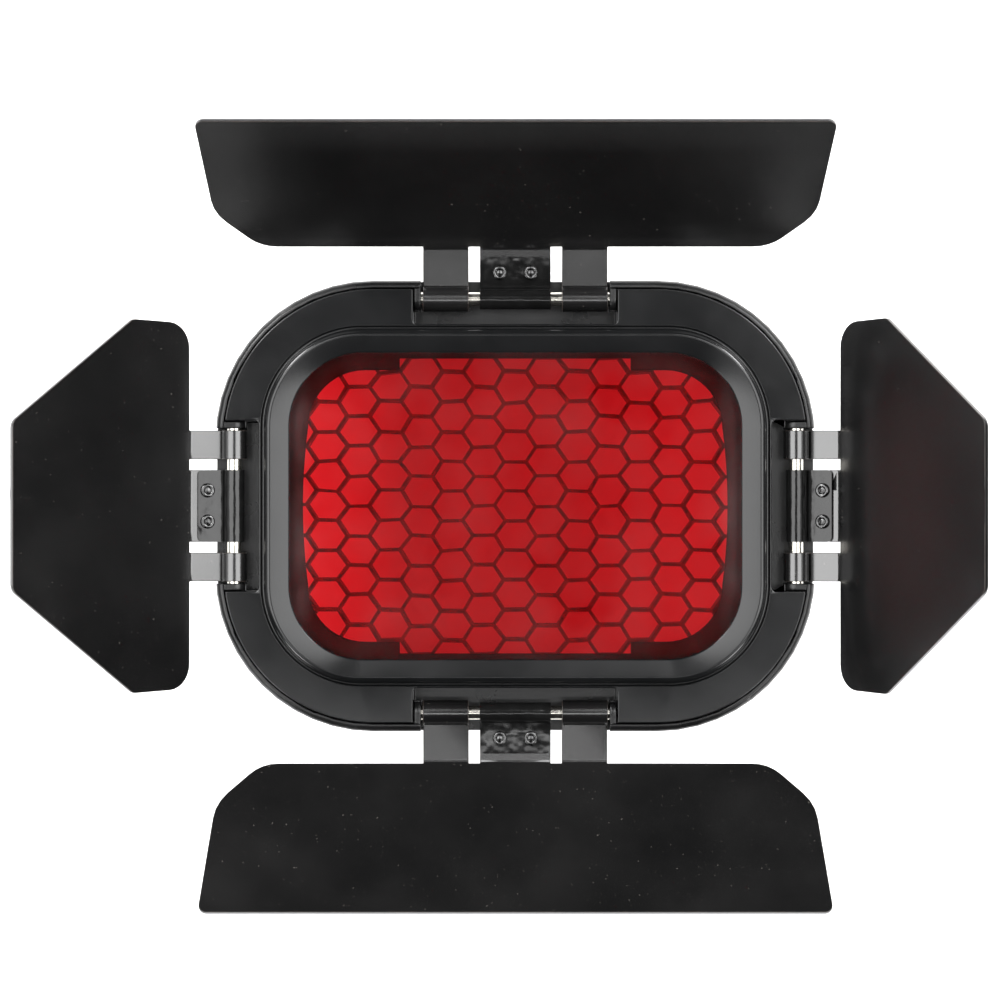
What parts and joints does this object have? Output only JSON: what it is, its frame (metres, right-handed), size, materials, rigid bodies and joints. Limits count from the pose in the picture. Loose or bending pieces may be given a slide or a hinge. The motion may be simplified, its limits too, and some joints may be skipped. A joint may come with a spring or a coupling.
{
  "type": "barn door attachment",
  "caption": "Rounded rectangular barn door frame with hinged light-shaping flaps on friction hinges, a red colour filter and a honeycomb grid, for a compact flash head.",
  "frame": {"origin": "centre of the sleeve's mouth, in the plane of its rear rim", "axes": "+Z the way the light goes, out of the window; +X towards the right-hand flap; +Y towards the top flap"},
  "size_m": [0.1567, 0.1297, 0.0494],
  "materials": {
    "housing_plastic": "matte",
    "cover_plastic": "satin",
    "painted_sheet": "satin",
    "spring_steel": "gloss",
    "pin_steel": "gloss",
    "rivet_steel": "gloss",
    "screw_steel": "satin",
    "red_filter": "gloss",
    "grid_plastic": "satin",
    "grid_foil": "satin"
  },
  "bodies": {
    "frame": {"rear_housing": "housing_plastic", "front_cover": "cover_plastic", "cover_screw_1": "screw_steel", "cover_screw_2": "screw_steel", "cover_screw_3": "screw_steel", "cover_screw_4": "screw_steel", "top_hinge_pin": "pin_steel", "left_hinge_pin": "pin_steel", "bottom_hinge_pin": "pin_steel", "right_hinge_pin": "pin_steel"},
    "top_door": {"top_flap": "painted_sheet", "top_friction_clip": "spring_steel", "top_rivet_a": "rivet_steel", "top_rivet_b": "rivet_steel"},
    "left_door": {"left_flap": "painted_sheet", "left_friction_clip": "spring_steel", "left_rivet_a": "rivet_steel", "left_rivet_b": "rivet_steel"},
    "bottom_door": {"bottom_flap": "painted_sheet", "bottom_friction_clip": "spring_steel", "bottom_rivet_a": "rivet_steel", "bottom_rivet_b": "rivet_steel"},
    "right_door": {"right_flap": "painted_sheet", "right_friction_clip": "spring_steel", "right_rivet_a": "rivet_steel", "right_rivet_b": "rivet_steel"},
    "filter_stack": {"color_filter": "red_filter", "honeycomb_frame": "grid_plastic", "honeycomb_core": "grid_foil"}
  },
  "joints": [
    {"name": "top_hinge", "type": "hinge", "parent": "frame", "child": "top_door", "pos_m": [0, 0.0345, 0.018], "axis": [1, 0, 0], "range_deg": [-18.5, 133.5]},
    {"name": "left_hinge", "type": "hinge", "parent": "frame", "child": "left_door", "pos_m": [-0.0469, 0, 0.018], "axis": [0, 1, 0], "range_deg": [-20, 138]},
    {"name": "bottom_hinge", "type": "hinge", "parent": "frame", "child": "bottom_door", "pos_m": [0, -0.0345, 0.018], "axis": [-1, 0, 0], "range_deg": [-4, 148]},
    {"name": "right_hinge", "type": "hinge", "parent": "frame", "child": "right_door", "pos_m": [0.0469, 0, 0.018], "axis": [0, -1, 0], "range_deg": [-33, 125]},
    {"name": "filter_stack_slide", "type": "slide", "parent": "frame", "child": "filter_stack", "axis": [0, 0, -1], "range_m": [0, 0.025]}
  ]
}
